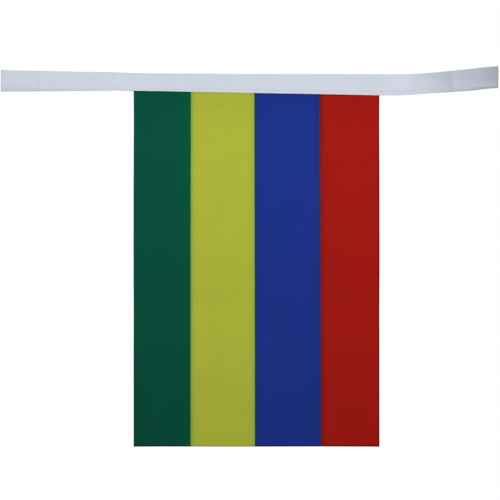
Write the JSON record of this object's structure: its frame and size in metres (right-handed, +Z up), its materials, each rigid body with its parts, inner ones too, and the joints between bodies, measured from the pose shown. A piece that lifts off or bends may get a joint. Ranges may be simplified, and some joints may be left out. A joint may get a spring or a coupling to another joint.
{
  "type": "flag bunting",
  "caption": "Length of bunting: an upright cloth flag in vertical coloured bands, hanging from a folded white tape.",
  "frame": {"origin": "top of the tape's fold, over the middle of the flag", "axes": "+Z up, +X along the tape to the right as the front is seen, -Y out of the front of the flag"},
  "size_m": [0.3013, 0.0328, 0.2303],
  "materials": {
    "flag_cloth": "plain woven polyester, matt with a faint sheen, printed through in four upright bands, green, yellow, blue and red from left to right; the colour given is the blue band's",
    "tape_cloth": "bluish white woven polyester tape, matt, with white thread"
  },
  "bodies": {
    "root": {"flag": "flag_cloth", "tape": "tape_cloth"}
  },
  "joints": []
}
